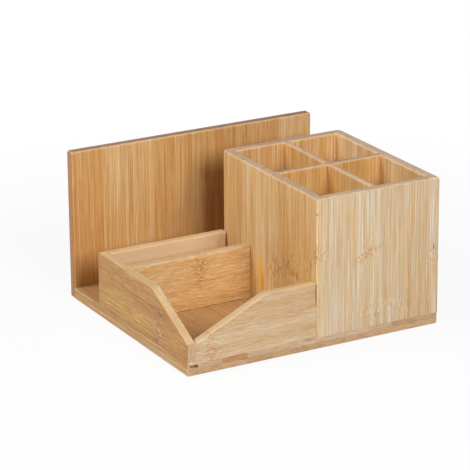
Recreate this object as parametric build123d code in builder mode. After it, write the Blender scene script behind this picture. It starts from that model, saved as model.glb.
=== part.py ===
from build123d import *
import os

# Desk organiser in glued bamboo boards: a pen box with four bays, a low note tray
# with a dropped corner, and a tall back panel with a letter slot in front of it.
# Frame: +X to the right, +Y to the rear, +Z up, origin under the middle of the base.

# Driving dimensions, millimetres
overall_width = 206.0
overall_depth = 186.0
overall_height = 114.8

base_thickness = 9.0
panel_thickness = 8.0
wall_thickness = 7.0
pen_wall_thickness = 8.0
divider_thickness = 5.0

# The panel's ends stop a little short of the base's sides
panel_left_inset = 0.4
panel_right_inset = 1.2

pen_box_width = 102.2
box_depth = 137.5
pen_box_top = 111.9

tray_top = 49.9
tray_low_corner = 24.0
note_bay_depth = 87.5
left_bend_from_front = 51.5
front_bend_from_left = 62.5
bend_radius = 12.0

# Eased edges: sanded tops, upright corners, and the base's worn rim
pen_top_ease = 1.8
panel_top_ease = 1.8
tray_top_ease = 1.3
corner_ease = 0.9
tray_corner_ease = 1.4
pen_rear_corner_ease = 4.5
panel_corner_ease = 1.2
base_corner_ease = 1.6
base_bottom_ease = 1.6
base_top_ease = 0.6
butt_end_ease = 0.8

# The half-lapped dividers slide over each other with this much play a side
lap_play = 0.1

# Open glue gap in the front end of the base, a wedge that opens to the right
gap_width = 6.4
gap_left_height = 1.3
gap_right_height = 2.3
gap_depth = 9.0
gap_below_top = 0.8
gap_from_left = 1.8

# Places worked out from the driving dimensions
left = -overall_width / 2
right = overall_width / 2
front = -overall_depth / 2
rear = overall_depth / 2
base_depth = overall_depth - panel_thickness
panel_width = overall_width - panel_left_inset - panel_right_inset
panel_mid_x = (panel_left_inset - panel_right_inset) / 2

pen_left = right - pen_box_width
box_rear = front + box_depth
pen_mid_x = (pen_left + right) / 2
box_mid_y = (front + box_rear) / 2
pen_box_height = pen_box_top - base_thickness
pen_lap_height = pen_box_height / 2
bay_width = (pen_box_width - 2 * pen_wall_thickness - divider_thickness) / 2
bay_depth = (box_depth - 2 * pen_wall_thickness - divider_thickness) / 2

tray_height = tray_top - base_thickness
tray_inner_left = left + wall_thickness
tray_inner_width = pen_left - tray_inner_left
tray_mid_x = (tray_inner_left + pen_left) / 2
note_bay_rear = front + wall_thickness + note_bay_depth
divider_mid_y = note_bay_rear + wall_thickness / 2
tray_rear_mid_y = box_rear - wall_thickness / 2
left_bend = front + left_bend_from_front
front_bend = left + front_bend_from_left

gap_left = left + gap_from_left
gap_right = gap_left + gap_width
gap_top = base_thickness - gap_below_top


def edges_at_height(part, height):
    """Level edges of a part that lie at one height."""
    level = part.edges().filter_by_position(Axis.Z, height - 0.01, height + 0.01)
    return level


# Base plate, with a rounded rim and the open glue gap in its front end
with BuildPart() as base_plate:
    with BuildSketch(Plane.XY):
        with Locations((0, front + base_depth / 2)):
            Rectangle(overall_width, base_depth)
    extrude(amount=base_thickness)
    front_corners = base_plate.edges().filter_by(Axis.Z).group_by(Axis.Y)[0]
    fillet(front_corners, radius=base_corner_ease)
    bottom_rim = edges_at_height(base_plate, 0).sort_by(Axis.Y)[:-1]
    fillet(bottom_rim, radius=base_bottom_ease)
    top_rim = edges_at_height(base_plate, base_thickness).sort_by(Axis.Y)[:-1]
    fillet(top_rim, radius=base_top_ease)
    with BuildSketch(Plane.XZ.offset(-front)):
        with BuildLine():
            Polyline(
                (gap_left, gap_top),
                (gap_right, gap_top),
                (gap_right, gap_top - gap_right_height),
                (gap_left, gap_top - gap_left_height),
                close=True,
            )
        make_face()
    extrude(amount=-gap_depth, mode=Mode.SUBTRACT)
base_plate.part.label = "base_plate"

# Back panel, standing on the desk behind the base, every edge eased
with BuildPart() as back_panel:
    with BuildSketch(Plane.XY):
        with Locations((panel_mid_x, rear - panel_thickness / 2)):
            Rectangle(panel_width, panel_thickness)
    extrude(amount=overall_height)
    fillet(back_panel.edges().filter_by(Axis.Z), radius=panel_corner_ease)
    fillet(edges_at_height(back_panel, overall_height), radius=panel_top_ease)
    fillet(edges_at_height(back_panel, 0), radius=base_bottom_ease)
back_panel.part.label = "back_panel"

# The pen box as it leaves the sander: glued up, then eased round its rim and bays
with BuildPart() as eased_pen_box:
    with BuildSketch(Plane.XY.offset(base_thickness)):
        with Locations((pen_mid_x, box_mid_y)):
            Rectangle(pen_box_width, box_depth)
            with GridLocations(bay_width + divider_thickness, bay_depth + divider_thickness, 2, 2):
                Rectangle(bay_width, bay_depth, mode=Mode.SUBTRACT)
    extrude(amount=pen_box_height)
    upright = eased_pen_box.edges().filter_by(Axis.Z)
    outer_upright = upright.group_by(Axis.X)[0] + upright.group_by(Axis.X)[-1]
    fillet(outer_upright.group_by(Axis.Y)[0], radius=corner_ease)
    fillet(outer_upright.group_by(Axis.Y)[-1], radius=pen_rear_corner_ease)
    fillet(edges_at_height(eased_pen_box, pen_box_top), radius=pen_top_ease)


def pen_box_board(width, depth, mid_x, mid_y):
    """One board of the pen box: what the eased box holds inside that board's own block."""
    with BuildPart() as board:
        add(eased_pen_box.part)
        with BuildSketch(Plane.XY.offset(base_thickness)):
            with Locations((mid_x, mid_y)):
                Rectangle(width, depth)
        extrude(amount=pen_box_height, mode=Mode.INTERSECT)
    return board.part


# Side walls run from front to rear, the end walls stand between them
side_mid_x = (pen_box_width - pen_wall_thickness) / 2
end_mid_y = (box_depth - pen_wall_thickness) / 2
end_width = pen_box_width - 2 * pen_wall_thickness
divider_length = box_depth - 2 * pen_wall_thickness

with BuildPart() as pen_box_left_wall:
    add(pen_box_board(pen_wall_thickness, box_depth, pen_mid_x - side_mid_x, box_mid_y))
pen_box_left_wall.part.label = "pen_box_left_wall"

with BuildPart() as pen_box_right_wall:
    add(pen_box_board(pen_wall_thickness, box_depth, pen_mid_x + side_mid_x, box_mid_y))
pen_box_right_wall.part.label = "pen_box_right_wall"

with BuildPart() as pen_box_front_wall:
    add(pen_box_board(end_width, pen_wall_thickness, pen_mid_x, box_mid_y - end_mid_y))
pen_box_front_wall.part.label = "pen_box_front_wall"

with BuildPart() as pen_box_rear_wall:
    add(pen_box_board(end_width, pen_wall_thickness, pen_mid_x, box_mid_y + end_mid_y))
pen_box_rear_wall.part.label = "pen_box_rear_wall"

# Half-lapped dividers: the long one is slotted from above, the cross one from below
lap_width = divider_thickness + 2 * lap_play

with BuildPart() as pen_divider_long:
    add(pen_box_board(divider_thickness, divider_length, pen_mid_x, box_mid_y))
    with BuildSketch(Plane.XY.offset(base_thickness + pen_lap_height - lap_play)):
        with Locations((pen_mid_x, box_mid_y)):
            Rectangle(lap_width, lap_width)
    extrude(amount=pen_box_height, mode=Mode.SUBTRACT)
pen_divider_long.part.label = "pen_divider_long"

with BuildPart() as pen_divider_cross:
    add(pen_box_board(end_width, divider_thickness, pen_mid_x, box_mid_y))
    with BuildSketch(Plane.XY.offset(base_thickness)):
        with Locations((pen_mid_x, box_mid_y)):
            Rectangle(lap_width, lap_width)
    extrude(amount=pen_lap_height + lap_play, mode=Mode.SUBTRACT)
pen_divider_cross.part.label = "pen_divider_cross"

# The tray as it leaves the sander, all but its front wall: the left wall with its
# dropped front corner, the divider and the rear wall, eased in one go
with BuildPart() as eased_tray:
    with BuildSketch(Plane.YZ.offset(left)) as left_profile:
        with BuildLine():
            Polyline(
                (front, base_thickness),
                (front, tray_low_corner),
                (left_bend, tray_top),
                (box_rear, tray_top),
                (box_rear, base_thickness),
                close=True,
            )
        make_face()
        bend = left_profile.vertices().filter_by_position(Axis.X, left_bend - 0.1, left_bend + 0.1)
        fillet(bend, radius=bend_radius)
    extrude(amount=wall_thickness)
    with BuildSketch(Plane.XY.offset(base_thickness)):
        with Locations((tray_mid_x, divider_mid_y), (tray_mid_x, tray_rear_mid_y)):
            Rectangle(tray_inner_width, wall_thickness)
    extrude(amount=tray_height)
    upright = eased_tray.edges().filter_by(Axis.Z)
    fillet(upright.group_by(Axis.X)[0], radius=tray_corner_ease)
    fillet(eased_tray.edges().filter_by(Axis.Z).group_by(Axis.X)[-1], radius=butt_end_ease)
    level_rim = edges_at_height(eased_tray, tray_top)
    bend_line = level_rim.filter_by(Axis.X).sort_by(Axis.Y)[:1]
    low_rim = edges_at_height(eased_tray, tray_low_corner).filter_by(Axis.X)
    fillet(level_rim - bend_line + low_rim, radius=tray_top_ease)


def tray_board(width, depth, mid_x, mid_y):
    """One board of the tray: what the eased tray holds inside that board's own block."""
    with BuildPart() as board:
        add(eased_tray.part)
        with BuildSketch(Plane.XY.offset(base_thickness)):
            with Locations((mid_x, mid_y)):
                Rectangle(width, depth)
        extrude(amount=tray_height, mode=Mode.INTERSECT)
    return board.part


with BuildPart() as tray_left_wall:
    add(tray_board(wall_thickness, box_depth, left + wall_thickness / 2, box_mid_y))
tray_left_wall.part.label = "tray_left_wall"

with BuildPart() as tray_divider:
    add(tray_board(tray_inner_width, wall_thickness, tray_mid_x, divider_mid_y))
tray_divider.part.label = "tray_divider"

with BuildPart() as tray_rear_wall:
    add(tray_board(tray_inner_width, wall_thickness, tray_mid_x, tray_rear_mid_y))
tray_rear_wall.part.label = "tray_rear_wall"

# Tray front wall: level beside the pen box, then dropping to meet the left wall
with BuildPart() as tray_front_wall:
    with BuildSketch(Plane.XZ.offset(-front)) as front_profile:
        with BuildLine():
            Polyline(
                (tray_inner_left, base_thickness),
                (tray_inner_left, tray_low_corner),
                (front_bend, tray_top),
                (pen_left, tray_top),
                (pen_left, base_thickness),
                close=True,
            )
        make_face()
        bend = front_profile.vertices().filter_by_position(Axis.X, front_bend - 0.1, front_bend + 0.1)
        fillet(bend, radius=bend_radius)
    extrude(amount=-wall_thickness)
    right_end = tray_front_wall.edges().filter_by(Axis.Z).group_by(Axis.X)[-1]
    fillet(right_end, radius=butt_end_ease)
    level_rim = edges_at_height(tray_front_wall, tray_top)
    bend_line = level_rim.filter_by(Axis.Y).sort_by(Axis.X)[:1]
    fillet(level_rim - bend_line, radius=tray_top_ease)
tray_front_wall.part.label = "tray_front_wall"

# One STEP file for each board
boards = [
    base_plate,
    back_panel,
    pen_box_left_wall,
    pen_box_right_wall,
    pen_box_front_wall,
    pen_box_rear_wall,
    pen_divider_long,
    pen_divider_cross,
    tray_left_wall,
    tray_front_wall,
    tray_divider,
    tray_rear_wall,
]
os.makedirs("parts", exist_ok=True)
for board in boards:
    export_step(board.part, "parts/" + board.part.label + ".step")
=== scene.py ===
# %% [markdown]
# # A desk organiser in glued bamboo
#
# The object is a flat base that carries a pen box, a low note tray and a tall back
# panel. All twelve boards are solid shapes that come from the CAD model, already in
# place and with their edges sanded round. What is left for Blender is the bamboo
# itself: strips glued side by side, fibres that run one way through each board,
# the knots of the cane, end grain, glue lines, and plain studio light.
#
# We start by loading the frame.

import math

import bpy
import numpy as np
from mathutils import Matrix, Vector


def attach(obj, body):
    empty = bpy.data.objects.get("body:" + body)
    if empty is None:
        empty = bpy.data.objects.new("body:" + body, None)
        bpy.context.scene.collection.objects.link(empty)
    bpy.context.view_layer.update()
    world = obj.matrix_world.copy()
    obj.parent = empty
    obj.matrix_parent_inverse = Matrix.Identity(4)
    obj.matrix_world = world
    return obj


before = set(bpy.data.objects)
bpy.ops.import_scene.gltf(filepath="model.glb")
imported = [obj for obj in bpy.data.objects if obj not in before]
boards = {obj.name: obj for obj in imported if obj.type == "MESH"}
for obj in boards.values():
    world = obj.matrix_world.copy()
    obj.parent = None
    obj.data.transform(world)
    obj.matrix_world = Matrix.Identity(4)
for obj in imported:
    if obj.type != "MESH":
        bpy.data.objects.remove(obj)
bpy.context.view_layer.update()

# %% [markdown]
# ## The camera
#
# The picture was taken from the front left, a little above the rims, with a long
# lens: the upright edges hardly lean together. We write the view as a point, two
# angles round the object and a very small roll, and build the camera's matrix from
# them. The image is square, so one focal length in pixels gives the lens.

# %% Set the camera
image_side = 470
focal_pixels = 2562.25
turn = math.radians(-29.064)
rise = math.radians(19.189)
roll = math.radians(-0.457)
viewpoint = Vector((-0.869667, -1.541431, 0.674300))

level = math.cos(rise)
backwards = Vector((math.sin(turn) * level, -math.cos(turn) * level, math.sin(rise)))
sideways = Vector((math.cos(turn), math.sin(turn), 0.0))
upwards = backwards.cross(sideways)
rolled_side = math.cos(roll) * sideways + math.sin(roll) * upwards
rolled_up = math.cos(roll) * upwards - math.sin(roll) * sideways

camera_data = bpy.data.cameras.new("camera")
sensor_width = 36.0
camera_data.sensor_width = sensor_width
camera_data.lens = focal_pixels / image_side * sensor_width
camera = bpy.data.objects.new("camera", camera_data)
bpy.context.scene.collection.objects.link(camera)
turned = Matrix((rolled_side, rolled_up, backwards)).transposed()
camera.matrix_world = Matrix.Translation(viewpoint) @ turned.to_4x4()
bpy.context.scene.camera = camera
print("lens in millimetres:", round(camera_data.lens, 1))

# %% [markdown]
# ## Wiring shader nodes
#
# A procedural finish is a small sum of numbers at each point of the surface. We
# could place and link every node by hand, but the sums would be hard to read. This
# helper keeps one material and adds a node for each step, so that a pattern below
# reads like the arithmetic it stands for. A method that adds a node hands back the
# node's output, ready to be fed to the next.


# %% A helper that wires a material
class Wiring:
    """Adds nodes to one new material and links them."""

    def __init__(self, name):
        self.material = bpy.data.materials.new(name)
        self.material.use_nodes = True
        self.tree = self.material.node_tree
        self.tree.nodes.clear()

    def feed(self, socket, value):
        """Links an output to the socket, or writes a plain value on it."""
        if isinstance(value, bpy.types.NodeSocket):
            self.tree.links.new(value, socket)
        else:
            socket.default_value = value

    def add(self, kind, inputs, output=0, **settings):
        """Adds a node, feeds its inputs and hands back one of its outputs."""
        node = self.tree.nodes.new(kind)
        for name, value in settings.items():
            setattr(node, name, value)
        for place, value in inputs.items():
            self.feed(node.inputs[place], value)
        return node.outputs[output] if node.outputs else None

    def sum(self, operation, a, b=0.0, c=0.0):
        """One step of arithmetic, under Blender's own name for it."""
        return self.add("ShaderNodeMath", {0: a, 1: b, 2: c}, operation=operation)

    def ease(self, value, low, high, out_low=0.0, out_high=1.0):
        """Goes smoothly from out_low to out_high while value goes from low to high."""
        ends = {0: value, 1: low, 2: high, 3: out_low, 4: out_high}
        return self.add("ShaderNodeMapRange", ends, interpolation_type="SMOOTHSTEP")

    def blend(self, factor, a, b, way="MIX"):
        """Mixes colour a with colour b, or multiplies them."""
        inputs = {0: factor, 6: a, 7: b}
        return self.add("ShaderNodeMix", inputs, 2, data_type="RGBA", blend_type=way)

    def vector(self, x, y, z):
        """Three numbers as one vector."""
        return self.add("ShaderNodeCombineXYZ", {0: x, 1: y, 2: z})

    def noise(self, vector, detail, roughness=0.5):
        """Smooth random numbers round 0.5, one wave per unit of the vector."""
        inputs = {"Vector": vector, "Scale": 1.0, "Detail": detail, "Roughness": roughness}
        return self.add("ShaderNodeTexNoise", inputs)


def linear(red, green, blue):
    """A screen colour, 0 to 255, as the linear colour that a shader reads."""
    screen = np.array([red, green, blue]) / 255
    straight = np.where(screen > 0.04045, ((screen + 0.055) / 1.055) ** 2.4, screen / 12.92)
    return (*straight.tolist(), 1.0)


print("wiring helper ready")

# %% [markdown]
# ## What bamboo board is
#
# Cane is split, planed to strips about 20 mm wide and glued side by side, so a board
# shows bands that differ a little in tone. Inside a strip the fibres run dead
# straight and show as fine streaks. Bundles of harder fibre show as thin dashes, and
# as dots where the board is cut across. Where the cane had a knot, the fibres swerve
# and break into speckles over a few millimetres.
#
# A picture of bamboo would have to be laid on every board and would not turn the
# corner at an edge. A pattern in space does: each board is a block of strips, and
# any cut through it, level, upright or sloping, shows the right grain by itself.
# So the pattern reads the place in the block, in millimetres, split into a distance
# along the fibres, across the strips and through the board.

# %% A block of bamboo strips, in space
axes = "XYZ"
# The lower ply's strips are counted from this number, and a seam fades between these
# two distances in millimetres
lower_ply_step = 40
seam_fade = (0.06, 0.3)


def block(wiring, fibres, strips, first_seam, pitch, seed, ply):
    """The three distances of a board, the chance numbers of its strips and its seams.

    The strip's number is floor((across - first seam) / pitch). White noise of that
    number gives each strip its own three chances. A seam is where the fraction left
    over is next to 0 or 1. In a board of two plies the lower one, up to the height
    ply, counts its strips from another number.
    """
    place = wiring.add("ShaderNodeTexCoord", {}, "Object")
    enlarged = {0: place, "Scale": 1000.0}
    millimetres = wiring.add("ShaderNodeVectorMath", enlarged, operation="SCALE")
    split = wiring.add("ShaderNodeSeparateXYZ", {0: millimetres}).node.outputs
    along = split[axes.index(fibres)]
    across = split[axes.index(strips)]
    through = split[3 - axes.index(fibres) - axes.index(strips)]
    count = wiring.sum("DIVIDE", wiring.sum("SUBTRACT", across, first_seam), pitch)
    number = wiring.sum("ADD", wiring.sum("FLOOR", count), seed)
    left_over = wiring.sum("FRACT", count)
    nearest = wiring.sum("MINIMUM", left_over, wiring.sum("SUBTRACT", 1.0, left_over))
    nearest = wiring.sum("MULTIPLY", nearest, pitch)
    if ply:
        lower = wiring.sum("LESS_THAN", through, ply)
        number = wiring.sum("ADD", number, wiring.sum("MULTIPLY", lower, lower_ply_step))
        height = wiring.sum("ABSOLUTE", wiring.sum("SUBTRACT", through, ply))
        nearest = wiring.sum("MINIMUM", nearest, height)
    line = {"noise_dimensions": "1D"}
    chance = wiring.add("ShaderNodeTexWhiteNoise", {"W": number}, "Color", **line)
    chances = wiring.add("ShaderNodeSeparateColor", {0: chance}).node.outputs
    seam = wiring.ease(nearest, *seam_fade, 1.0, 0.0)
    return millimetres, along, across, through, number, chances, seam


print("block of strips ready, axes", axes)

# %% [markdown]
# ## Places in the block
#
# A knot sits at a known place on its board and so does a stain. Both are ellipses or
# ellipsoids: the distance from the centre is counted in radii, and a smooth step of
# that distance says how far inside a point lies. A knot is wide across the strip and
# short along the fibres, and its line wanders a little, as in cane.

# %% Knots and marks as places

# How far a knot's line wanders, over what lengths across and along, in millimetres
knot_wander = 7.0
wander_across, wander_along = 4.0, 30.0
# A knot's core is this much thinner than its swerve, and each fades over these radii
core_thinness = 2.8
swerve_fade, core_fade, mark_fade = (0.25, 1.3), (0.5, 1.2), (0.35, 1.0)


def distance_from(wiring, place, centre, radii):
    """The distance from a centre, counted in radii, so that 1 is an ellipsoid's skin."""
    away = wiring.add("ShaderNodeVectorMath", {0: place, 1: centre}, operation="SUBTRACT")
    inverse = tuple(1 / radius for radius in radii)
    pressed = wiring.add("ShaderNodeVectorMath", {0: away, 1: inverse}, operation="MULTIPLY")
    return wiring.add("ShaderNodeVectorMath", {0: pressed}, "Value", operation="LENGTH")


def knot_fields(wiring, along, across, knots):
    """How deep a point lies in a knot's swerve (0 to 1) and in its speckled core.

    Each knot is an ellipse round (along, across), wide across the strip and tilted by
    the given slope. The core is the same ellipse pressed thin along the fibres, and
    bite says how dark it is. Its line wanders, because the distance along the fibres
    first gets a slow wave.
    """
    waves_across = wiring.sum("DIVIDE", across, wander_across)
    waves_along = wiring.sum("DIVIDE", along, wander_along)
    wave = wiring.noise(wiring.vector(waves_across, waves_along, 0.0), 1.0)
    wave = wiring.sum("SUBTRACT", wave, 0.5)
    waved = wiring.sum("ADD", along, wiring.sum("MULTIPLY", wave, knot_wander))
    swerve = 0.0
    core = 0.0
    for knot_along, knot_across, reach, width, slope, bite in knots:
        level = wiring.sum("SUBTRACT", waved, wiring.sum("MULTIPLY", across, slope))
        centre = (knot_along - slope * knot_across, knot_across, 0.0)
        here = wiring.vector(level, across, 0.0)
        wide_length = distance_from(wiring, here, centre, (reach, width, 1.0))
        thin_length = distance_from(wiring, here, centre, (reach / core_thinness, width, 1.0))
        inside = wiring.ease(wide_length, *swerve_fade, 1.0, 0.0)
        swerve = wiring.sum("MAXIMUM", swerve, inside)
        core = wiring.sum("MAXIMUM", core, wiring.ease(thin_length, *core_fade, bite, 0.0))
    return swerve, core


def mark_field(wiring, place, centre, radii):
    """1 at a centre in space, easing to 0 at the skin of an ellipsoid round it."""
    return wiring.ease(distance_from(wiring, place, centre, radii), *mark_fade, 1.0, 0.0)


print("knots and marks ready, a knot's line wanders by", knot_wander, "mm")

# %% [markdown]
# ## Streaks, dashes and speckles
#
# All patterns share the three distances, stretched along the fibres by different
# amounts. Smooth noise gives the streaks, the drift of hue, the broad bands and, where
# it passes a threshold, thin dark lines and thin bright glints. Cells with a point in
# each give the dashes of hard fibre, long and thin in the board's face and round in
# its end. The same kind of cells, short and kept inside a knot, give its torn chips
# and flecks, and the dots of its core.

# %% The fibre patterns

# The length of one wave or cell along the fibres and across them, in millimetres
grain = {
    "roll": (26.0, 14.0), "eddy": (4.5, 3.2), "streaks": (60.0, 0.62), "hues": (50.0, 0.55),
    "threads": (90.0, 0.9), "bands": (180.0, 7.0), "dashes": (22.0, 0.62),
    "flecks": (6.0, 1.0), "chips": (5.5, 1.0), "speckles": (2.1, 1.2),
}
# The noise, or the distance from a cell's heart, over which each pattern fades in
fades = {
    "lines": (0.56, 0.65), "glints": (0.44, 0.34), "dashes": (0.10, 0.46),
    "flecks": (0.24, 0.48), "chips": (0.2, 0.5), "speckles": (0.26, 0.46),
}
# How far an eddy pushes the fibres aside, and what keeps strips and layers unlike
eddy_swing = 3.6
strip_shift, layer_shift = 900.0, 70.0


def stretched(wiring, along, across, through, length, width):
    """The place in the block, counted in waves of the given length and width."""
    parts = ((along, length), (across, width), (through, width))
    return wiring.vector(*(wiring.sum("DIVIDE", distance, wave) for distance, wave in parts))


def cells(wiring, vector, low, high):
    """1 within the distance low of each random cell's heart, easing to 0 at high."""
    inputs = {"Vector": vector, "Scale": 1.0, "Randomness": 1.0}
    distance = wiring.add("ShaderNodeTexVoronoi", inputs)
    return wiring.ease(distance, low, high, 1.0, 0.0)


def fibre_patterns(wiring, along, across, through, chances, swerve, core, length, waver):
    """The patterns by name, each from 0 to 1.

    Lengths along the fibres are scaled by length. The distance across first gets a
    slow wave of waver millimetres and, inside a knot's swerve, a quick one.
    """
    shifted = wiring.sum("ADD", along, wiring.sum("MULTIPLY", chances[0], strip_shift))
    behind = wiring.sum("ADD", through, layer_shift)
    roll = wiring.noise(stretched(wiring, shifted, across, through, *grain["roll"]), 1.0)
    roll = wiring.sum("MULTIPLY", wiring.sum("SUBTRACT", roll, 0.5), waver)
    eddy = wiring.noise(stretched(wiring, along, across, through, *grain["eddy"]), 1.0)
    eddy = wiring.sum("MULTIPLY", wiring.sum("SUBTRACT", eddy, 0.5), eddy_swing)
    bend = wiring.sum("ADD", roll, wiring.sum("MULTIPLY", eddy, swerve))
    bent = wiring.sum("ADD", across, bend)

    def place(pattern, depth, stretch=1.0):
        long, wide = grain[pattern]
        return stretched(wiring, shifted, bent, depth, long * stretch, wide)

    threads = wiring.noise(place("threads", behind, length), 1.0)
    patterns = {
        "streaks": wiring.noise(place("streaks", through, length), 3.0, 0.7),
        "hues": wiring.noise(place("hues", behind, length), 2.0, 0.6),
        "lines": wiring.ease(threads, *fades["lines"]),
        "glints": wiring.ease(threads, *fades["glints"]),
        "bands": wiring.noise(place("bands", through), 1.0),
        "dashes": cells(wiring, place("dashes", through, length), *fades["dashes"]),
    }
    flecks = cells(wiring, place("flecks", through), *fades["flecks"])
    chips = cells(wiring, place("chips", behind), *fades["chips"])
    speckles = cells(wiring, place("speckles", through), *fades["speckles"])
    patterns["flecks"] = wiring.sum("MULTIPLY", flecks, swerve)
    patterns["chips"] = wiring.sum("MULTIPLY", chips, swerve)
    patterns["speckles"] = wiring.sum("MULTIPLY", speckles, core)
    return patterns


print("fibre patterns ready:", *grain)

# %% [markdown]
# ## End grain and sanded edges
#
# Where a board is cut across, the cut ends of the fibres drink up more oil and look
# greyer and duller than the face. How far a surface is cut across is the part of its
# normal that points along the fibres, so the flat top of a wall, its rounded edge and
# the sloping rim of the tray all find their own mixture. The normal also finds the
# rounded edges, which are painted a little paler: a painted highlight where they
# catch the lamps.

# %% Where a surface is end grain and where it is an edge

# Each of these changes between two shares of the normal; an edge goes by its largest
end_turn, side_turn, edge_turn, rim_turn = (0.7, 0.99), (0.6, 0.95), (0.74, 0.93), (0.15, 0.4)


def cut_fields(wiring, fibres, strips):
    """(end grain, side, rim, corner): what the normal says about the cut at a point.

    End grain grows as the normal turns along the fibres, side as it turns across the
    strips. An edge is where no axis leads; a rim is an edge that also looks up or
    down, a corner is an upright edge.
    """
    normal = wiring.add("ShaderNodeTexCoord", {}, "Normal")
    size = wiring.add("ShaderNodeVectorMath", {0: normal}, operation="ABSOLUTE")
    split = wiring.add("ShaderNodeSeparateXYZ", {0: size}).node.outputs
    largest = wiring.sum("MAXIMUM", wiring.sum("MAXIMUM", split[0], split[1]), split[2])
    end_grain = wiring.ease(split[axes.index(fibres)], *end_turn)
    side = wiring.ease(split[axes.index(strips)], *side_turn)
    edge = wiring.ease(largest, *edge_turn, 1.0, 0.0)
    rim = wiring.sum("MULTIPLY", edge, wiring.ease(split[2], *rim_turn))
    corner = wiring.sum("SUBTRACT", edge, rim)
    return end_grain, side, rim, corner


print("cut fields ready, end grain from", end_turn[0], "of the normal")

# %% [markdown]
# ## The colours of oiled bamboo
#
# A strip is pale or deep by its age and by how long it was steamed. Fine bundles of
# fibre are more orange than the pith between them, so lines and dashes multiply the
# board's own colour by a warm tint: on a cream board they stay faint, on a honey
# board they turn brown. Absolute colours are kept for knots, stains and glue lines.

# %% Colours and tints
# From the darkest stain to the pale pith, then the tints, which multiply a colour
umber = linear(112, 68, 36)
toasted = linear(132, 78, 36)
scorched = linear(128, 68, 16)
brown = linear(158, 98, 46)
rust = linear(182, 116, 50)
caramel = linear(184, 120, 60)
amber = linear(206, 148, 84)
pith = linear(228, 200, 160)
warm = (1.05, 0.96, 0.72, 1.0)
cool = (0.97, 1.03, 1.21, 1.0)
line_tint = (1.0, 0.85, 0.57, 1.0)
dash_tint = (0.8, 0.4, 0.16, 1.0)
dark_strip = (0.94, 0.86, 0.74, 1.0)
pale_strip = (1.06, 1.14, 1.28, 1.0)
untinted = (1.0, 1.0, 1.0, 1.0)
# Red, green and blue follow the light to these powers
shade_powers = (0.75, 1.4, 2.7)


def scaled(wiring, colour, light):
    """The colour with its brightness multiplied by light."""
    return wiring.blend(1.0, colour, wiring.vector(light, light, light), "MULTIPLY")


def shaded(wiring, colour, light):
    """The colour lit or dimmed by the grain: where it dims, it turns more orange.

    Each channel is multiplied by light to its own power, smallest for red.
    """
    tint = wiring.vector(*(wiring.sum("POWER", light, power) for power in shade_powers))
    return wiring.blend(1.0, colour, tint, "MULTIPLY")


print("tints ready, from", dark_strip[:3], "to", pale_strip[:3])

# %% [markdown]
# ## Tone of each strip
#
# Where the boards of the real object can be told strip from strip, their tones are
# written down as a short list, one number for each strip. A colour ramp with hard
# steps hands each strip its number. Other boards leave it to the strip's own chance.

# %% Steps from strip to strip


def ramp(wiring, value, levels):
    """A grey level for each whole number that value passes, from 0 up."""
    steps = wiring.add("ShaderNodeValToRGB", {0: wiring.sum("DIVIDE", value, len(levels))}).node
    stops = steps.color_ramp.elements
    steps.color_ramp.interpolation = "CONSTANT"
    stops.remove(stops[1])
    for place, level in enumerate(levels):
        stop = stops[0] if place == 0 else stops.new(place / len(levels))
        stop.color = (level, level, level, 1.0)
    return steps.outputs[0]


def strip_tint(wiring, number, chance, seed, tones, spread, side):
    """The tint of a strip, from dark to pale by its tone in the list or by its chance.

    Spread is how strong the tint is on the board's faces, and it fades on its sides.
    """
    tone = chance
    if tones:
        tone = ramp(wiring, wiring.sum("SUBTRACT", number, seed - 0.5), tones)
    tint = wiring.blend(tone, dark_strip, pale_strip)
    return wiring.blend(wiring.ease(side, 0.0, 1.0, spread, 0.0), untinted, tint)


print("strip tones ready")

# %% [markdown]
# ## A planed face
#
# The face is built up as the eye takes it in: streaks between the pale and the deep
# colour, a drift between yellowish and greyish threads, the tone of the strip, then
# lines, glints and dashes. Some faces were sanded and oiled until the grain hardly
# shows, which is what quiet stands for.

# %% Colour of a planed face

# Where the noise turns the hue and the bands, how far bands, glints and lines lift or
# dim the light, and how strong the tints of lines and dashes are
hue_fade, band_fade = (0.34, 0.66), (0.25, 0.75)
band_dim, band_lift, glint_lift, line_dim = 0.1, 0.09, 0.14, 0.07
line_strength, dash_strength = 0.5, 0.4


def face_colour(wiring, fibre, streak_mix, pale, deep, strip, contrast, quiet):
    """The face's colour. Each pattern's effect is its own strength times contrast."""
    colour = wiring.blend(streak_mix, deep, pale)
    hue = wiring.blend(wiring.ease(fibre["hues"], *hue_fade), warm, cool)
    colour = wiring.blend(1.0, colour, hue, "MULTIPLY")
    colour = wiring.blend(1.0, colour, strip, "MULTIPLY")
    low, high = 1.0 - band_dim * contrast, 1.0 + band_lift * contrast
    bands = wiring.ease(fibre["bands"], *band_fade, low, high)
    glints = wiring.ease(fibre["glints"], 0.0, 1.0, 1.0, 1.0 + glint_lift * contrast)
    lines = wiring.ease(fibre["lines"], 0.0, 1.0, 1.0, 1.0 - line_dim * contrast)
    light = wiring.sum("MULTIPLY", bands, wiring.sum("MULTIPLY", glints, lines))
    colour = shaded(wiring, colour, light)
    lines = wiring.sum("MULTIPLY", fibre["lines"], line_strength * contrast)
    colour = wiring.blend(lines, colour, line_tint, "MULTIPLY")
    dashes = wiring.sum("MULTIPLY", fibre["dashes"], dash_strength * contrast)
    colour = wiring.blend(dashes, colour, dash_tint, "MULTIPLY")
    return wiring.blend(quiet, colour, wiring.blend(0.5, deep, pale))


print("face colour ready")

# %% [markdown]
# ## Knots and stains
#
# A knot is not a spot of paint. Round it the fibres are torn into pale chips and
# brown flecks, and only its core is dotted with rusty ends of fibre. Stains, dark
# single lines and scorched patches are marks: soft ellipsoids of one colour, laid
# over the finished board where the real one has them.

# %% Knots and marks on the face

# The light on a torn chip, and how strongly core, flecks and speckles cover the face
chip_lift = 1.15
core_strength, fleck_strength, speckle_strength = 0.2, 0.5, 0.88


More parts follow.
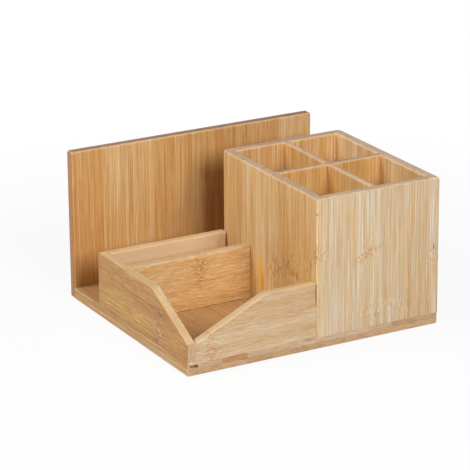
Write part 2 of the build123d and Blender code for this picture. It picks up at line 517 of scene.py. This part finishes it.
def with_knots(wiring, colour, fibre, core, fleck, speck):
    """The colour with chips, a tinted core, flecks and speckles laid over it."""
    colour = shaded(wiring, colour, wiring.ease(fibre["chips"], 0.0, 1.0, 1.0, chip_lift))
    colour = wiring.blend(wiring.sum("MULTIPLY", core, core_strength), colour, amber)
    flecks = wiring.sum("MULTIPLY", fibre["flecks"], fleck_strength * fleck)
    colour = wiring.blend(flecks, colour, brown)
    speckles = wiring.sum("MULTIPLY", fibre["speckles"], speckle_strength)
    return wiring.blend(speckles, colour, speck)


def with_marks(wiring, colour, place, marks):
    """The colour with stains laid over it, each inside its own ellipsoid."""
    for centre, radii, stain, strength in marks:
        field = mark_field(wiring, place, centre, radii)
        colour = wiring.blend(wiring.sum("MULTIPLY", field, strength), colour, stain)
    return colour


print("knots and stains ready, strength of a speckle", speckle_strength)

# %% [markdown]
# ## The cut end of a board
#
# A cut end is layered: the strips were pressed together, so fine level layers cross
# it, dotted with the ends of the dark bundles. In the base the end grain belongs to
# blocks in two plies, and a list names the blocks that stand out.

# %% Colour of end grain

# A block's own lightness, the size and the light of its layers, and its dots
block_light = (0.95, 1.05)
layer_length, layer_height = 7.0, 0.8
layer_fade, layer_light = (0.3, 0.7), (0.82, 1.14)
dot_light = (1.04, 0.82)


def cut_colour(wiring, fibre, number, chance, place, end, lower_end, ply, blocks):
    """End grain: one colour for each ply, exceptions by block number, layers and dots.

    place is the point's three distances along, across and through the board.
    """
    along, across, through = place
    colour = end
    if ply:
        colour = wiring.blend(wiring.sum("LESS_THAN", through, ply), end, lower_end)
    for block_number, block_colour in blocks:
        chosen = wiring.sum("COMPARE", number, block_number, 0.5)
        colour = wiring.blend(chosen, colour, block_colour)
    colour = scaled(wiring, colour, wiring.ease(chance, 0.0, 1.0, *block_light))
    in_lengths = wiring.sum("DIVIDE", across, layer_length)
    in_heights = wiring.sum("DIVIDE", through, layer_height)
    pressed = wiring.noise(wiring.vector(in_lengths, in_heights, along), 2.0)
    layers = wiring.ease(pressed, *layer_fade, *layer_light)
    dots = wiring.ease(fibre["dashes"], 0.0, 1.0, *dot_light)
    return scaled(wiring, colour, wiring.sum("MULTIPLY", layers, dots))


print("end grain ready, layers", layer_height, "mm high")

# %% [markdown]
# ## Gloss and relief
#
# The lacquer is a thin satin coat, rough enough to spread the lamps into a soft
# sheen, and duller on end grain, which soaks it up. The relief is a few hundredths
# of a millimetre: fibres stand a little proud, dashes, knots and seams lie lower.

# %% The lacquered surface

# Roughness of the deep and the pale streaks, what end grain adds to it, and how deep
# each pattern lies, counted in the height of the relief, which is in metres
rough_deep, rough_pale, end_roughness = 0.58, 0.48, 0.16
pits = {"dashes": 0.8, "flecks": 0.8, "speckles": 1.2}
relief_height = 0.00006


def surface_of(wiring, colour, fibre, streak_mix, seam, end_grain):
    """Gloss and relief round the finished colour, and the material's output."""
    rough = wiring.ease(fibre["streaks"], 0.3, 0.7, rough_deep, rough_pale)
    rough = wiring.sum("ADD", rough, wiring.sum("MULTIPLY", end_grain, end_roughness))
    height = wiring.sum("SUBTRACT", streak_mix, seam)
    for pattern, depth in pits.items():
        height = wiring.sum("SUBTRACT", height, wiring.sum("MULTIPLY", fibre[pattern], depth))
    bump = {"Strength": 0.35, "Distance": relief_height, "Height": height}
    relief = wiring.add("ShaderNodeBump", bump)
    look = {"Base Color": colour, "Roughness": rough, "Normal": relief}
    coat = {"Coat Weight": 0.35, "Coat Roughness": 0.42}
    surface = wiring.add("ShaderNodeBsdfPrincipled", look | coat)
    wiring.add("ShaderNodeOutputMaterial", {"Surface": surface})


print("lacquered surface ready, relief", 1000 * relief_height, "mm")

# %% [markdown]
# ## One board, one material
#
# All boards share one recipe and differ in its numbers: which way the fibres run,
# where the first seam is, how wide the strips are, the two colours of the grain, and
# the list of knots and marks. The recipe lays the layers over each other in the
# order in which they lie on the real board.

# %% The recipe for a board

# Half the noise over which a streak goes from deep to pale, how strongly a seam shows
# and the painted highlight on an upright edge
streak_softness = 0.11
seam_strength, painted_corner_highlight = 0.22, 1.10


def bamboo(
    name, fibres, strips, first_seam, pitch, pale, deep, end, knots=(), marks=(), seed=0.0,
    tones=(), spread=0.5, contrast=1.0, fleck=1.0, speck=rust, length=1.0, waver=0.5,
    edge_pale=None, edge_deep=None, painted_rim_highlight=0.5, ply=0.0, blocks=(), calm=0.0, calm_side=0.0,
):
    """One board's material. Places are in millimetres in the object's own frame.

    The fibres run along the axis fibres and the strips are laid across the axis
    strips, pitch wide, from first_seam. pale and deep are the two colours of the
    grain, end that of end grain, edge_pale and edge_deep those of the narrow sides.
    A knot is its place along the fibres and across them, its reach along the fibres,
    its width, its slope and the darkness of its core. A mark is a centre, three
    radii, a colour and a strength. tones are the strips' own tones from the first
    seam on, and spread is how much strips differ. contrast is the strength of the
    grain, length and waver the length and the sway of its streaks, and fleck and
    speck the strength and the colour of the torn fibre in knots. calm and calm_side
    say how far the grain fades on the faces and on the narrow sides, and painted_rim_highlight
    how pale the rims are. ply is the height of a lower ply, with its end grain as
    dark as the deep colour, and blocks colours single blocks of the end grain.
    """
    wiring = Wiring(name)
    where = block(wiring, fibres, strips, first_seam, pitch, seed, ply)
    place, along, across, through, number, chances, seam = where
    swerve, core = knot_fields(wiring, along, across, knots)
    fibre = fibre_patterns(wiring, along, across, through, chances, swerve, core, length, waver)
    end_grain, side, rim, corner = cut_fields(wiring, fibres, strips)

    lower_end = deep
    if edge_pale:
        pale = wiring.blend(side, pale, edge_pale)
        deep = wiring.blend(side, deep, edge_deep)
    strip = strip_tint(wiring, number, chances[1], seed, tones, spread, side)
    half_step = streak_softness / contrast
    streak_mix = wiring.ease(fibre["streaks"], 0.5 - half_step, 0.5 + half_step)
    quiet = wiring.ease(side, 0.0, 1.0, calm, calm_side)
    colour = face_colour(wiring, fibre, streak_mix, pale, deep, strip, contrast, quiet)
    colour = with_knots(wiring, colour, fibre, core, fleck, speck)

    blocks = [(seed + block_number, block_colour) for block_number, block_colour in blocks]
    depths = (along, across, through)
    cut = cut_colour(wiring, fibre, number, chances[2], depths, end, lower_end, ply, blocks)
    colour = wiring.blend(end_grain, colour, cut)
    colour = wiring.blend(wiring.sum("MULTIPLY", seam, seam_strength), colour, toasted)
    # Painted highlight: the rims are blended towards the pale pith and the upright edges made
    # brighter, as where they catch the lamps
    colour = wiring.blend(wiring.sum("MULTIPLY", rim, painted_rim_highlight), colour, pith)
    colour = scaled(wiring, colour, wiring.ease(corner, 0.0, 1.0, 1.0, painted_corner_highlight))
    colour = with_marks(wiring, colour, place, marks)

    surface_of(wiring, colour, fibre, streak_mix, seam, end_grain)
    print(name, "fibres along", fibres, "knots", len(knots), "marks", len(marks))
    return wiring.material


def finish(node, material):
    """Gives a CAD board its material."""
    mesh = boards[node].data
    mesh.materials.clear()
    mesh.materials.append(material)


# %% [markdown]
# ## Where the faces are
#
# Knots, stains and glue have their own places on the real boards. The faces they lie
# on are measured here from the boards themselves, in millimetres, so that a place
# below is a named face and a distance along it.

# %% The faces, in millimetres


def extent(node):
    """The lowest and the highest corner of a board."""
    vertices = boards[node].data.vertices
    points = np.empty(3 * len(vertices))
    vertices.foreach_get("co", points)
    points = 1000 * points.reshape(-1, 3)
    return points.min(axis=0).round(3).tolist(), points.max(axis=0).round(3).tolist()


(left, front, _), (_, _, base_top) = extent("base_plate")
(pen_face, _, _), _ = extent("pen_box_left_wall")
(_, panel_face, _), (_, panel_back, _) = extent("back_panel")
_, (tray_inner, _, _) = extent("tray_left_wall")
(_, rear_face, _), _ = extent("tray_rear_wall")
(_, middle_face, _), (_, _, middle_top) = extent("tray_divider")
print("front", front, "left", left, "pen box", pen_face, "panel", panel_face, panel_back)
print("tray", tray_inner, rear_face, middle_face, "tops", base_top, middle_top)

# %% [markdown]
# ## The pen box
#
# Its boards stand with their fibres upright, so their tops are end grain. The front
# board is the palest of all, with thin amber lines, and one broad strip of it carries
# the clearest knot.

# %% Pen box, front board
cream = linear(203, 183, 152)
cream_deep = linear(184, 156, 116)
box_end = linear(214, 180, 148)

finish(
    "pen_box_front_wall",
    bamboo(
        "front_bamboo", "Z", "X", 9.9, 23.0, cream, cream_deep, box_end,
        [(64, 42.5, 13, 14, 0.33, 0.9), (21, 62, 11, 42, 0.05, 0.0)],
        [
            ((31.5, front, 82), (0.7, 4, 34), amber, 0.5),
            ((55.5, front, 60), (0.6, 4, 42), caramel, 0.5),
            ((61.5, front, 55), (0.8, 4, 50), amber, 0.7),
            ((77, front, 45), (0.6, 4, 40), caramel, 0.45),
            ((76.5, front, 90), (1.3, 4, 10), amber, 0.5),
            ((88, front, 60), (0.5, 4, 40), amber, 0.4),
        ],
        seed=3.0, tones=(0.5, 1.0, 0.5, 0.4), spread=0.45, contrast=0.9, fleck=0.35,
    ),
)

# %% [markdown]
# The left wall is honey-coloured and its strips differ more. Four knots form one band
# that rises towards the front, with chips of rusty fibre torn out near them, and a
# golden stain lies just in front of the tray's middle wall.

# %% Pen box, left board
honey = linear(224, 188, 135)
honey_deep = linear(204, 158, 97)
sunny = linear(245, 203, 132)
golden = linear(240, 196, 104)
deep_gold = linear(238, 182, 66)
burnt_gold = linear(224, 150, 36)

finish(
    "pen_box_left_wall",
    bamboo(
        "left_side_bamboo", "Z", "Y", -106.0, 24.0, honey, honey_deep, box_end,
        [
            (49, -59, 17, 15, 0.0, 1.0), (42, -35, 15, 14, 0.0, 0.25),
            (62, -81, 18, 8, 0.0, 0.3), (71, -91, 10, 3.5, 0.0, 0.9),
        ],
        [
            ((pen_face, -74, 46), (4, 30, 32), sunny, 0.4),
            ((pen_face, -59.5, 47), (3, 5, 3), rust, 0.6),
            ((pen_face, -65.6, 46.5), (3, 1.6, 4.5), rust, 0.8),
            ((pen_face, -52.5, 51), (3, 4, 5), rust, 0.4),
            ((pen_face, -84.8, 59), (3, 1.2, 8), rust, 0.55),
            ((pen_face, -69.7, 62), (3, 1.3, 9), rust, 0.45),
            ((pen_face, -76.7, 67), (3, 1.3, 9), rust, 0.4),
            ((pen_face, -11, 34), (3, 11, 24), golden, 0.4),
            ((1.3, -92.5, 100.6), (1.0, 1.2, 1.4), brown, 0.8),
            ((pen_face, -14, 33), (3, 6.5, 18), deep_gold, 0.7),
            ((pen_face, -16, 27), (3, 3.0, 11), burnt_gold, 0.85),
        ],
        seed=11.0, tones=(0.4, 0.25, 0.3, 1.0, 1.0, 0.4, 0.3), spread=0.85,
        edge_pale=linear(208, 187, 151), edge_deep=linear(188, 159, 115), fleck=1.9,
    ),
)

# %% [markdown]
# The other boards of the box show mainly their tops and their inner faces. Their
# colours follow those glimpses, and the knots on the hidden sides are in keeping.
# The right wall, the rear wall and the long divider are painted paler than the left
# board: painted light that makes up for the shade in the bays.

# %% Pen box, the other boards
# Painted light: the right wall, the rear wall and the long divider are paler than the left board
# to make up for the shade in the bays
finish(
    "pen_box_right_wall",
    bamboo(
        "right_side_bamboo", "Z", "Y", -91.0, 21.5,
        linear(239, 207, 158), linear(218, 175, 114), linear(218, 188, 161),
        [(48, -20, 11, 10, 0.0, 0.8), (75, 20, 9, 10, 0.1, 0.8), (54, front, 10, 3, 0.0, 0.0)],
        [((98.5, front, 60), (0.9, 2, 3.0), toasted, 0.85)], seed=23.0,
        edge_pale=linear(200, 178, 147), edge_deep=linear(184, 156, 116),
    ),
)
finish(
    "pen_box_rear_wall",
    bamboo(
        "rear_bamboo", "Z", "X", 4.0, 22.0,
        linear(230, 190, 134), linear(208, 158, 96), linear(212, 176, 147),
        [(90, 70, 9, 9, 0.0, 0.8)], seed=31.0, tones=(0.25, 0.3, 0.75, 0.85, 0.8),
    ),
)
finish(
    "pen_divider_long",
    bamboo(
        "long_divider_bamboo", "Z", "Y", -88.0, 20.5,
        linear(236, 195, 133), linear(215, 164, 96), linear(217, 186, 159),
        [(70, -50, 9, 9, 0.2, 0.8)], seed=41.0,
    ),
)
finish(
    "pen_divider_cross",
    bamboo(
        "cross_divider_bamboo", "Z", "X", 10.0, 21.0,
        linear(222, 180, 117), linear(202, 150, 84), linear(197, 162, 137),
        [(60, 30, 9, 9, 0.0, 0.8)], seed=47.0,
    ),
)

# %% [markdown]
# ## The note tray
#
# The tray's boards lie on their long edges, with level fibres and two strips in
# their height. Where the corner drops away the saw ran through the fibres at a
# slant, so the rim there mixes the look of a long edge with that of end grain. A
# dark line of painted shade stands where the front wall meets the pen box, for the
# shadow in the groove between them.

# %% Tray, front board
tray_end = linear(184, 152, 116)
rim_pale = linear(226, 196, 152)
rim_deep = linear(210, 176, 128)

finish(
    "tray_front_wall",
    bamboo(
        "tray_front_bamboo", "X", "Z", 7.0, 22.0,
        linear(200, 176, 142), linear(181, 145, 98), tray_end,
        [(-84, 17, 12, 15, 0.0, 1.0)],
        [
            ((-1.5, front, 36.5), (2.2, 4, 4), amber, 0.6),
            # Painted shade: a dark line for the shadow in the groove where the wall meets the pen
            # box
            ((0.3, front, 42), (1.1, 3, 12), umber, 1.0),
        ],
        seed=53.0, tones=(0.65, 0.2), contrast=0.62, length=0.25, waver=1.2,
        edge_pale=rim_pale, edge_deep=rim_deep, painted_rim_highlight=0.25, calm_side=0.4,
    ),
)

# %% [markdown]
# The left wall is the deepest in colour and the strongest in grain. Its one large
# knot has pale chips below it, and scorched fibre runs along the seam above.

# %% Tray, left board
finish(
    "tray_left_wall",
    bamboo(
        "tray_left_bamboo", "Y", "Z", 14.0, 22.0,
        linear(193, 146, 65), linear(171, 117, 38), tray_end,
        [(-51, 24, 15, 17, 0.0, 1.0)],
        [
            ((left, -20, 36.2), (6, 14, 0.9), scorched, 0.4),
            ((left, -40, 35.5), (6, 15, 1.0), scorched, 0.6),
            ((left, -59, 34.8), (6, 11, 0.9), scorched, 0.5),
            ((left, -53, 32.5), (6, 5, 2.4), scorched, 0.35),
            ((left, -49, 25.7), (6, 1.8, 4), scorched, 0.3),
            ((left, -51, 20.8), (6, 2.6, 1.5), pith, 0.45),
            ((left, -53, 18), (6, 2.6, 1.4), pith, 0.4),
            ((left, -47, 12), (6, 5, 2.2), scorched, 0.3),
            ((left, -57, 17), (6, 2.4, 1.6), scorched, 0.3),
            # Painted highlight: a pale band on the lit lip of the end, just above the gap in the
            # base's front edge
            ((-99.5, front, 10), (4, 2, 1.1), pith, 0.6),
        ],
        seed=61.0, contrast=1.5, fleck=1.5, speck=scorched, length=0.3, waver=1.2,
        edge_pale=linear(224, 195, 154), edge_deep=linear(212, 180, 134),
        painted_rim_highlight=0.25, calm_side=0.5,
    ),
)

# %% [markdown]
# The middle wall carries a wide knot across its upper strip. The rear wall was
# sanded smoothest, so its grain is short and faint. Its colours are painted paler
# than those of the other tray boards, painted light that makes up for the shade it
# stands in, and painted shade darkens the corner at the pen box with a greyish patch
# and a dark line.

# %% Tray, middle and rear boards
finish(
    "tray_divider",
    bamboo(
        "tray_divider_bamboo", "X", "Z", 30.0, 22.0,
        linear(229, 193, 141), linear(208, 162, 101), tray_end,
        [(-41.5, 37.5, 14, 15, 0.0, 1.0)],
        seed=67.0, contrast=0.82, length=0.13, waver=1.6,
        edge_pale=linear(218, 188, 146), edge_deep=linear(202, 168, 122),
        painted_rim_highlight=0.25, calm_side=0.4,
    ),
)
finish(
    "tray_rear_wall",
    bamboo(
        "tray_rear_bamboo", "X", "Z", 29.0, 22.0,
        # Painted light: both colours are paler than the other tray boards to make up for the
        # shade this wall stands in
        linear(236, 207, 168), linear(224, 189, 145), tray_end,
        marks=[
            # Painted shade: a greyish patch and a dark line in the corner where the wall meets
            # the pen box
            ((-3.5, rear_face, 42), (6, 2, 10), linear(190, 152, 118), 0.4),
            ((0.4, rear_face, 41), (1.3, 2, 12), umber, 0.9),
        ],
        seed=71.0, calm=0.3, contrast=0.4, length=0.45, waver=0.8,
        edge_pale=rim_pale, edge_deep=rim_deep, painted_rim_highlight=0.25,
    ),
)

# %% [markdown]
# ## The base
#
# The base is laid of strips that run from front to rear, in two plies, so its front
# edge is two rows of end-grain blocks, no two of quite the same colour. One block
# is reddish, some of the upper row are pinkish, and the lower row turns warmer to the
# right; the list of blocks says which, with a fixed step added for the lower ply.
# The top was sanded and oiled smoother than the walls. Along its front edge two dark
# lines of painted shade stand for the shadow in the joint where the walls sit on it,
# and a short dark line lies lower down, at the seam between the plies.

# %% The base board
russet = linear(178, 127, 82)
blush = linear(193, 165, 137)
sand = linear(188, 157, 124)
bronze = linear(176, 142, 106)
ember = linear(185, 148, 108)

finish(
    "base_plate",
    bamboo(
        "base_bamboo", "Y", "X", -95.6, 20.0,
        linear(222, 175, 114), linear(178, 142, 102), linear(183, 152, 117),
        [(-20, -60, 10, 10, 0.0, 0.8)],
        [
            # Painted shade: the first two marks are dark lines for the shadow in the joint where
            # the walls sit on the base
            ((-65.5, front, 8.9), (11, 3, 0.9), toasted, 0.8),
            ((-6, front, base_top), (8, 3, 0.9), toasted, 0.95),
            ((-58, front, 4.9), (4, 3, 0.6), toasted, 0.7),
        ],
        seed=83.0, contrast=1.9, ply=5.0, calm=0.65,
        edge_pale=linear(206, 163, 98), edge_deep=linear(174, 134, 77), painted_rim_highlight=0.2,
        blocks=[
            (1, russet), (4, blush), (5, sand), (6, blush), (7, sand), (8, bronze), (9, bronze),
            *((lower_ply_step + lower, ember) for lower in (1, 5, 6, 7, 8, 9)),
        ],
    ),
)

# %% [markdown]
# ## The back panel
#
# The panel stands upright with upright fibres, like the pen box, and its strips
# differ most in tone: one is nearly cream, its neighbour a deep honey. Its left end is
# the side of a strip, darker and browner than the face.

# %% The back board
finish(
    "back_panel",
    bamboo(
        "back_bamboo", "Z", "X", -99.0, 21.5,
        linear(216, 176, 119), linear(197, 147, 86), linear(178, 139, 106),
        [(40, 30, 10, 10, 0.0, 0.8)],
        [
            ((-53, panel_face, 75), (0.9, 4, 40), caramel, 0.5),
            ((42, panel_face, 102), (0.7, 4, 9), brown, 0.6),
            ((30, panel_face, 108), (0.6, 4, 8), caramel, 0.5),
            # Painted shade: the rear edge of the left end is darkened where it faces away from
            # the lamps
            ((-102.8, panel_back + 0.5, 57), (2.5, 2.5, 80), brown, 0.4),
        ],
        seed=97.0, tones=(0.0, 0.95, 0.75, 0.28, 0.3, 0.2, 0.2, 0.5, 0.9, 0.9), spread=0.9,
        edge_pale=linear(177, 122, 57), edge_deep=linear(160, 106, 44), fleck=0.5,
    ),
)

# %% [markdown]
# ## Glue at the joints
#
# The boards are butted and glued, and where two of them meet in a hollow corner a
# little glue has squeezed out and set. It shows as a thin brown line along the foot
# of the tray's middle wall, whose dark brown is partly painted shade for the shadow
# in that corner, and as an amber one up that wall's right end. A plain strip would
# look like trim: set glue clings to both boards and draws back between them, so each
# bead is a hollow curve from one board to the other, and its reach swells and shrinks
# slowly along the joint. We compute that skin directly.

# %% The skin of a glue bead

stations, arc_points = 160, 7
# Two sine waves make the reach swell, the second quicker by this factor
slow_swell, quick_swell, quickness, phase = 0.28, 0.2, 2.7, 0.7
# At each end the reach shrinks to this part of itself, over this share of the joint
end_part, end_share = 0.1, 0.04


def glue_bead(name, start, stop, first_side, second_side, reach, waves):
    """A thin concave fillet of set glue along a corner line, in millimetres.

    At each station the reach is the mean reach times one plus two slow sine waves,
    and it shrinks towards both ends. A ring is the corner point, then points at angles t
    from 0 to a right angle: corner + reach ((1 - sin t) first side + (1 - cos t)
    second side), which is a quarter circle bent towards the corner. The first side,
    the second side and the joint's direction are in right-handed order, so that the
    faces point outwards.
    """
    start, stop = np.array(start, float), np.array(stop, float)
    first_side, second_side = np.array(first_side, float), np.array(second_side, float)
    share = np.linspace(0.0, 1.0, stations)
    turn_of_wave = 2 * np.pi * waves * share
    swell = 1 + slow_swell * np.sin(turn_of_wave + phase)
    swell += quick_swell * np.sin(quickness * turn_of_wave)
    closing = np.minimum(1.0, np.minimum(share, 1 - share) / end_share)
    closing = closing * (1 - end_part) + end_part
    local = (reach * swell * closing)[:, None, None]
    angles = np.linspace(0.0, np.pi / 2, arc_points)[None, :, None]
    spine = (start + share[:, None] * (stop - start))[:, None, :]
    hollow = (1 - np.sin(angles)) * first_side + (1 - np.cos(angles)) * second_side
    arc = spine + local * hollow
    rings = np.concatenate([spine, arc], axis=1)
    around = rings.shape[1]
    rows, columns = np.arange(stations - 1)[:, None] * around, np.arange(around)[None, :]
    beside = (columns + 1) % around
    here, next_to = rows + columns, rows + beside
    faces = np.stack([here, next_to, next_to + around, here + around], -1).reshape(-1, 4).tolist()
    caps = [list(range(around))[::-1], list(range((stations - 1) * around, stations * around))]
    mesh = bpy.data.meshes.new(name)
    mesh.from_pydata((rings.reshape(-1, 3) / 1000).tolist(), [], faces + caps)
    mesh.update()
    mesh.polygons.foreach_set("use_smooth", [True] * len(mesh.polygons))
    bead = bpy.data.objects.new(name, mesh)
    bpy.context.scene.collection.objects.link(bead)
    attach(bead, "root")
    print(name, "reach", reach, "mm, faces", len(mesh.polygons))
    return bead


# %% [markdown]
# ## What set glue looks like
#
# Dried wood glue is a brown to amber film, cloudy where sanding dust stuck to it and
# a little glossier than the lacquer round it. Smooth noise clouds its colour, and
# the same noise gives it a slightly lumpy skin.

# %% The glue's look

clouds_per_metre = 400.0


def glue(name, thin, thick):
    """Set glue: brown where it is thick, clearer where it is thin, with a low gloss."""
    wiring = Wiring(name)
    place = wiring.add("ShaderNodeTexCoord", {}, "Object")
    enlarged = {0: place, "Scale": clouds_per_metre}
    waves = wiring.add("ShaderNodeVectorMath", enlarged, operation="SCALE")
    cloud = wiring.noise(waves, 3.0, 0.6)
    colour = wiring.blend(wiring.ease(cloud, 0.35, 0.65), thin, thick)
    relief = wiring.add("ShaderNodeBump", {"Strength": 0.4, "Distance": 0.0001, "Height": cloud})
    rough = wiring.ease(cloud, 0.3, 0.7, 0.34, 0.5)
    inputs = {"Base Color": colour, "Roughness": rough, "Normal": relief}
    surface = wiring.add("ShaderNodeBsdfPrincipled", inputs)
    wiring.add("ShaderNodeOutputMaterial", {"Surface": surface})
    return wiring.material


print("glue ready,", clouds_per_metre, "clouds a metre")

# %% The two beads
forwards, leftwards, up = (0, -1, 0), (-1, 0, 0), (0, 0, 1)
# The corner line lies just inside both boards. The upright bead's lies deeper in the
# middle wall, so that only half of its reach stands out.
sunk, sunk_deep = 0.02, 0.45

foot_y, foot_z = middle_face + sunk, base_top - sunk
foot_bead = glue_bead(
    "glue_bead_foot", (tray_inner + 0.1, foot_y, foot_z), (pen_face - 0.1, foot_y, foot_z),
    up, forwards, 0.42, 5.0,
)
# The foot bead's brown is partly the glue's own colour and partly painted shade for the shadow in
# the corner
foot_bead.data.materials.append(glue("brown_glue_and_painted_shade", linear(150, 96, 50), linear(104, 62, 30)))

end_x, end_y = pen_face + sunk, middle_face + sunk_deep
end_bead = glue_bead(
    "glue_bead_end", (end_x, end_y, base_top + 0.4), (end_x, end_y, middle_top - 1.7),
    leftwards, forwards, 0.95, 2.0,
)
end_bead.data.materials.append(glue("amber_glue", linear(214, 150, 74), linear(182, 112, 46)))

# %% [markdown]
# ## The floor
#
# A pale floor carries the soft shadow. To the camera it is mostly plain white, so
# that the object stands on white as in a catalogue, but near the object a tenth of it
# answers to the lamps and keeps the shadow; half a metre out it is all white.

# %% The floor
plain_share = 0.9
shadow_radius, white_radius = 0.2, 0.5
half = 6.0

floor_wiring = Wiring("white_floor")
paths = floor_wiring.add("ShaderNodeLightPath", {}).node.outputs
seen = floor_wiring.sum("MAXIMUM", paths["Is Camera Ray"], paths["Is Glossy Ray"])
seen = floor_wiring.sum("MAXIMUM", seen, paths["Is Transmission Ray"])
paper = floor_wiring.add("ShaderNodeBsdfDiffuse", {"Color": (0.9, 0.9, 0.9, 1.0)})
white = floor_wiring.add("ShaderNodeEmission", {"Color": untinted, "Strength": 1.0})
here = floor_wiring.add("ShaderNodeTexCoord", {}, "Object")
reach = floor_wiring.add("ShaderNodeVectorMath", {0: here}, "Value", operation="LENGTH")
plain = floor_wiring.ease(reach, shadow_radius, white_radius, plain_share, 1.0)
share = floor_wiring.sum("MULTIPLY", seen, plain)
mixed = floor_wiring.add("ShaderNodeMixShader", {0: share, 1: paper, 2: white})
floor_wiring.add("ShaderNodeOutputMaterial", {"Surface": mixed})

floor_mesh = bpy.data.meshes.new("floor")
corners = [(-half, -half, 0.0), (half, -half, 0.0), (half, half, 0.0), (-half, half, 0.0)]
floor_mesh.from_pydata(corners, [], [(0, 1, 2, 3)])
floor_mesh.materials.append(floor_wiring.material)
floor = bpy.data.objects.new("floor", floor_mesh)
bpy.context.scene.collection.objects.link(floor)
print("floor side in metres:", 2 * half)

# %% [markdown]
# ## The light
#
# A large lamp in front and a little above lights the front faces and throws the pen
# box's shadow on the back panel. A second one from the upper left lights the left
# sides and opens the shadows. A dim, even sky fills what neither reaches; seen
# directly it is plain white, like the floor.

# %% Lamps


def softbox(name, place, target, side, watts):
    """A square lamp at one place, facing another."""
    data = bpy.data.lights.new(name, "AREA")
    data.shape = "SQUARE"
    data.size = side
    data.energy = watts
    lamp = bpy.data.objects.new(name, data)
    lamp.location = place
    aim = Vector(target) - Vector(place)
    lamp.rotation_euler = aim.to_track_quat("-Z", "Y").to_euler()
    bpy.context.scene.collection.objects.link(lamp)
    print(name, "at", place, "watts", watts)


middle = (0.0, 0.0, 0.05)
softbox("front_key", (0.0, -1.32, 0.76), middle, 0.6, 16.5)
softbox("left_fill", (-1.15, 0.2, 0.95), middle, 0.8, 14.0)

# %% Sky
sky_strength, seen_strength = 0.12, 1.0

world = bpy.data.worlds.new("studio")
world.use_nodes = True
bpy.context.scene.world = world
backdrop = world.node_tree.nodes["Background"]
ray = world.node_tree.nodes.new("ShaderNodeLightPath")
strength = world.node_tree.nodes.new("ShaderNodeMapRange")
strength.inputs["To Min"].default_value = sky_strength
strength.inputs["To Max"].default_value = seen_strength
world.node_tree.links.new(ray.outputs["Is Camera Ray"], strength.inputs["Value"])
world.node_tree.links.new(strength.outputs["Result"], backdrop.inputs["Strength"])
backdrop.inputs["Color"].default_value = untinted
print("sky", sky_strength, "and seen directly", seen_strength)

# %% [markdown]
# ## The end
#
# The colours are shown as they are written.

# %% Colours as written
bpy.context.scene.view_settings.view_transform = "Standard"
